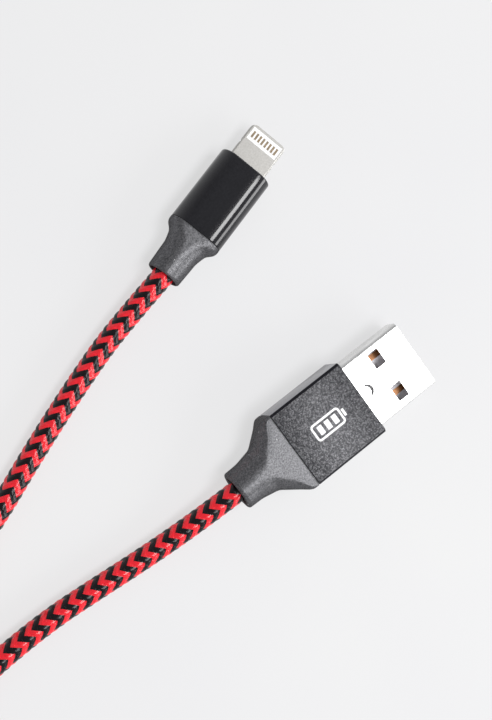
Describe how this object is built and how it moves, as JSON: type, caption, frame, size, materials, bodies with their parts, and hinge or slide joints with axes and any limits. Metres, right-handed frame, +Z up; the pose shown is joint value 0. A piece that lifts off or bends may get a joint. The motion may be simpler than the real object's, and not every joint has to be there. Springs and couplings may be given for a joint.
{
  "type": "charging cable",
  "caption": "Braided charging cable with a flat rectangular charger plug on one end and a small reversible phone plug on the other, its spare cord wound in a tied coil.",
  "frame": {"origin": "on the surface that the cable lies on, under the middle of the charger plug's cover", "axes": "+X out of the charger plug's mouth along its axis, +Z up from the surface, +Y across the charger plug towards the phone plug"},
  "size_m": [0.1521, 0.0584, 0.009],
  "materials": {
    "plug_metal": "bright nickel-plated sheet",
    "insulator_plastic": "moulded",
    "contact_gold": "plated",
    "inner_metal": "tinned sheet",
    "inner_plastic": "moulded",
    "charger_cover": "sparkling granular",
    "phone_cover": "gloss",
    "strain_relief": "fine-grained satin",
    "jacket": "smooth",
    "wire_red": "smooth",
    "wire_white": "smooth",
    "wire_green": "smooth",
    "wire_black": "smooth",
    "solder": "bright",
    "tab_metal": "satin",
    "tab_plastic": "smooth",
    "board": "solder mask",
    "chip": "moulded",
    "capacitor": "fired",
    "cord_braid": "glossy two-colour braid, red and black",
    "tie_strap": "hook and loop strap"
  },
  "bodies": {
    "root": {"charger_plug_shell": "plug_metal", "charger_plug_insulator": "insulator_plastic", "charger_plug_contacts": "contact_gold", "charger_plug_rear_shield": "inner_metal", "charger_plug_inner_mould": "inner_plastic", "charger_plug_cover": "charger_cover", "charger_plug_strain_relief": "strain_relief", "charger_plug_jacket_end": "jacket", "charger_plug_power_wire": "wire_red", "charger_plug_data_minus_wire": "wire_white", "charger_plug_data_plus_wire": "wire_green", "charger_plug_ground_wire": "wire_black", "charger_plug_solder_joints": "solder", "phone_plug_tab_frame": "tab_metal", "phone_plug_tab_core": "tab_plastic", "phone_plug_upper_contacts": "contact_gold", "phone_plug_lower_contacts": "contact_gold", "phone_plug_circuit_board": "board", "phone_plug_control_chip": "chip", "phone_plug_capacitors": "capacitor", "phone_plug_shield": "inner_metal", "phone_plug_inner_mould": "inner_plastic", "phone_plug_cover": "phone_cover", "phone_plug_strain_relief": "strain_relief", "phone_plug_jacket_end": "jacket", "phone_plug_power_wire": "wire_red", "phone_plug_data_minus_wire": "wire_white", "phone_plug_data_plus_wire": "wire_green", "phone_plug_ground_wire": "wire_black", "phone_plug_solder_joints": "solder", "cord_charger_side": "cord_braid", "cord_phone_side": "cord_braid", "cord_coil": "cord_braid", "cord_tie": "tie_strap"}
  },
  "joints": []
}
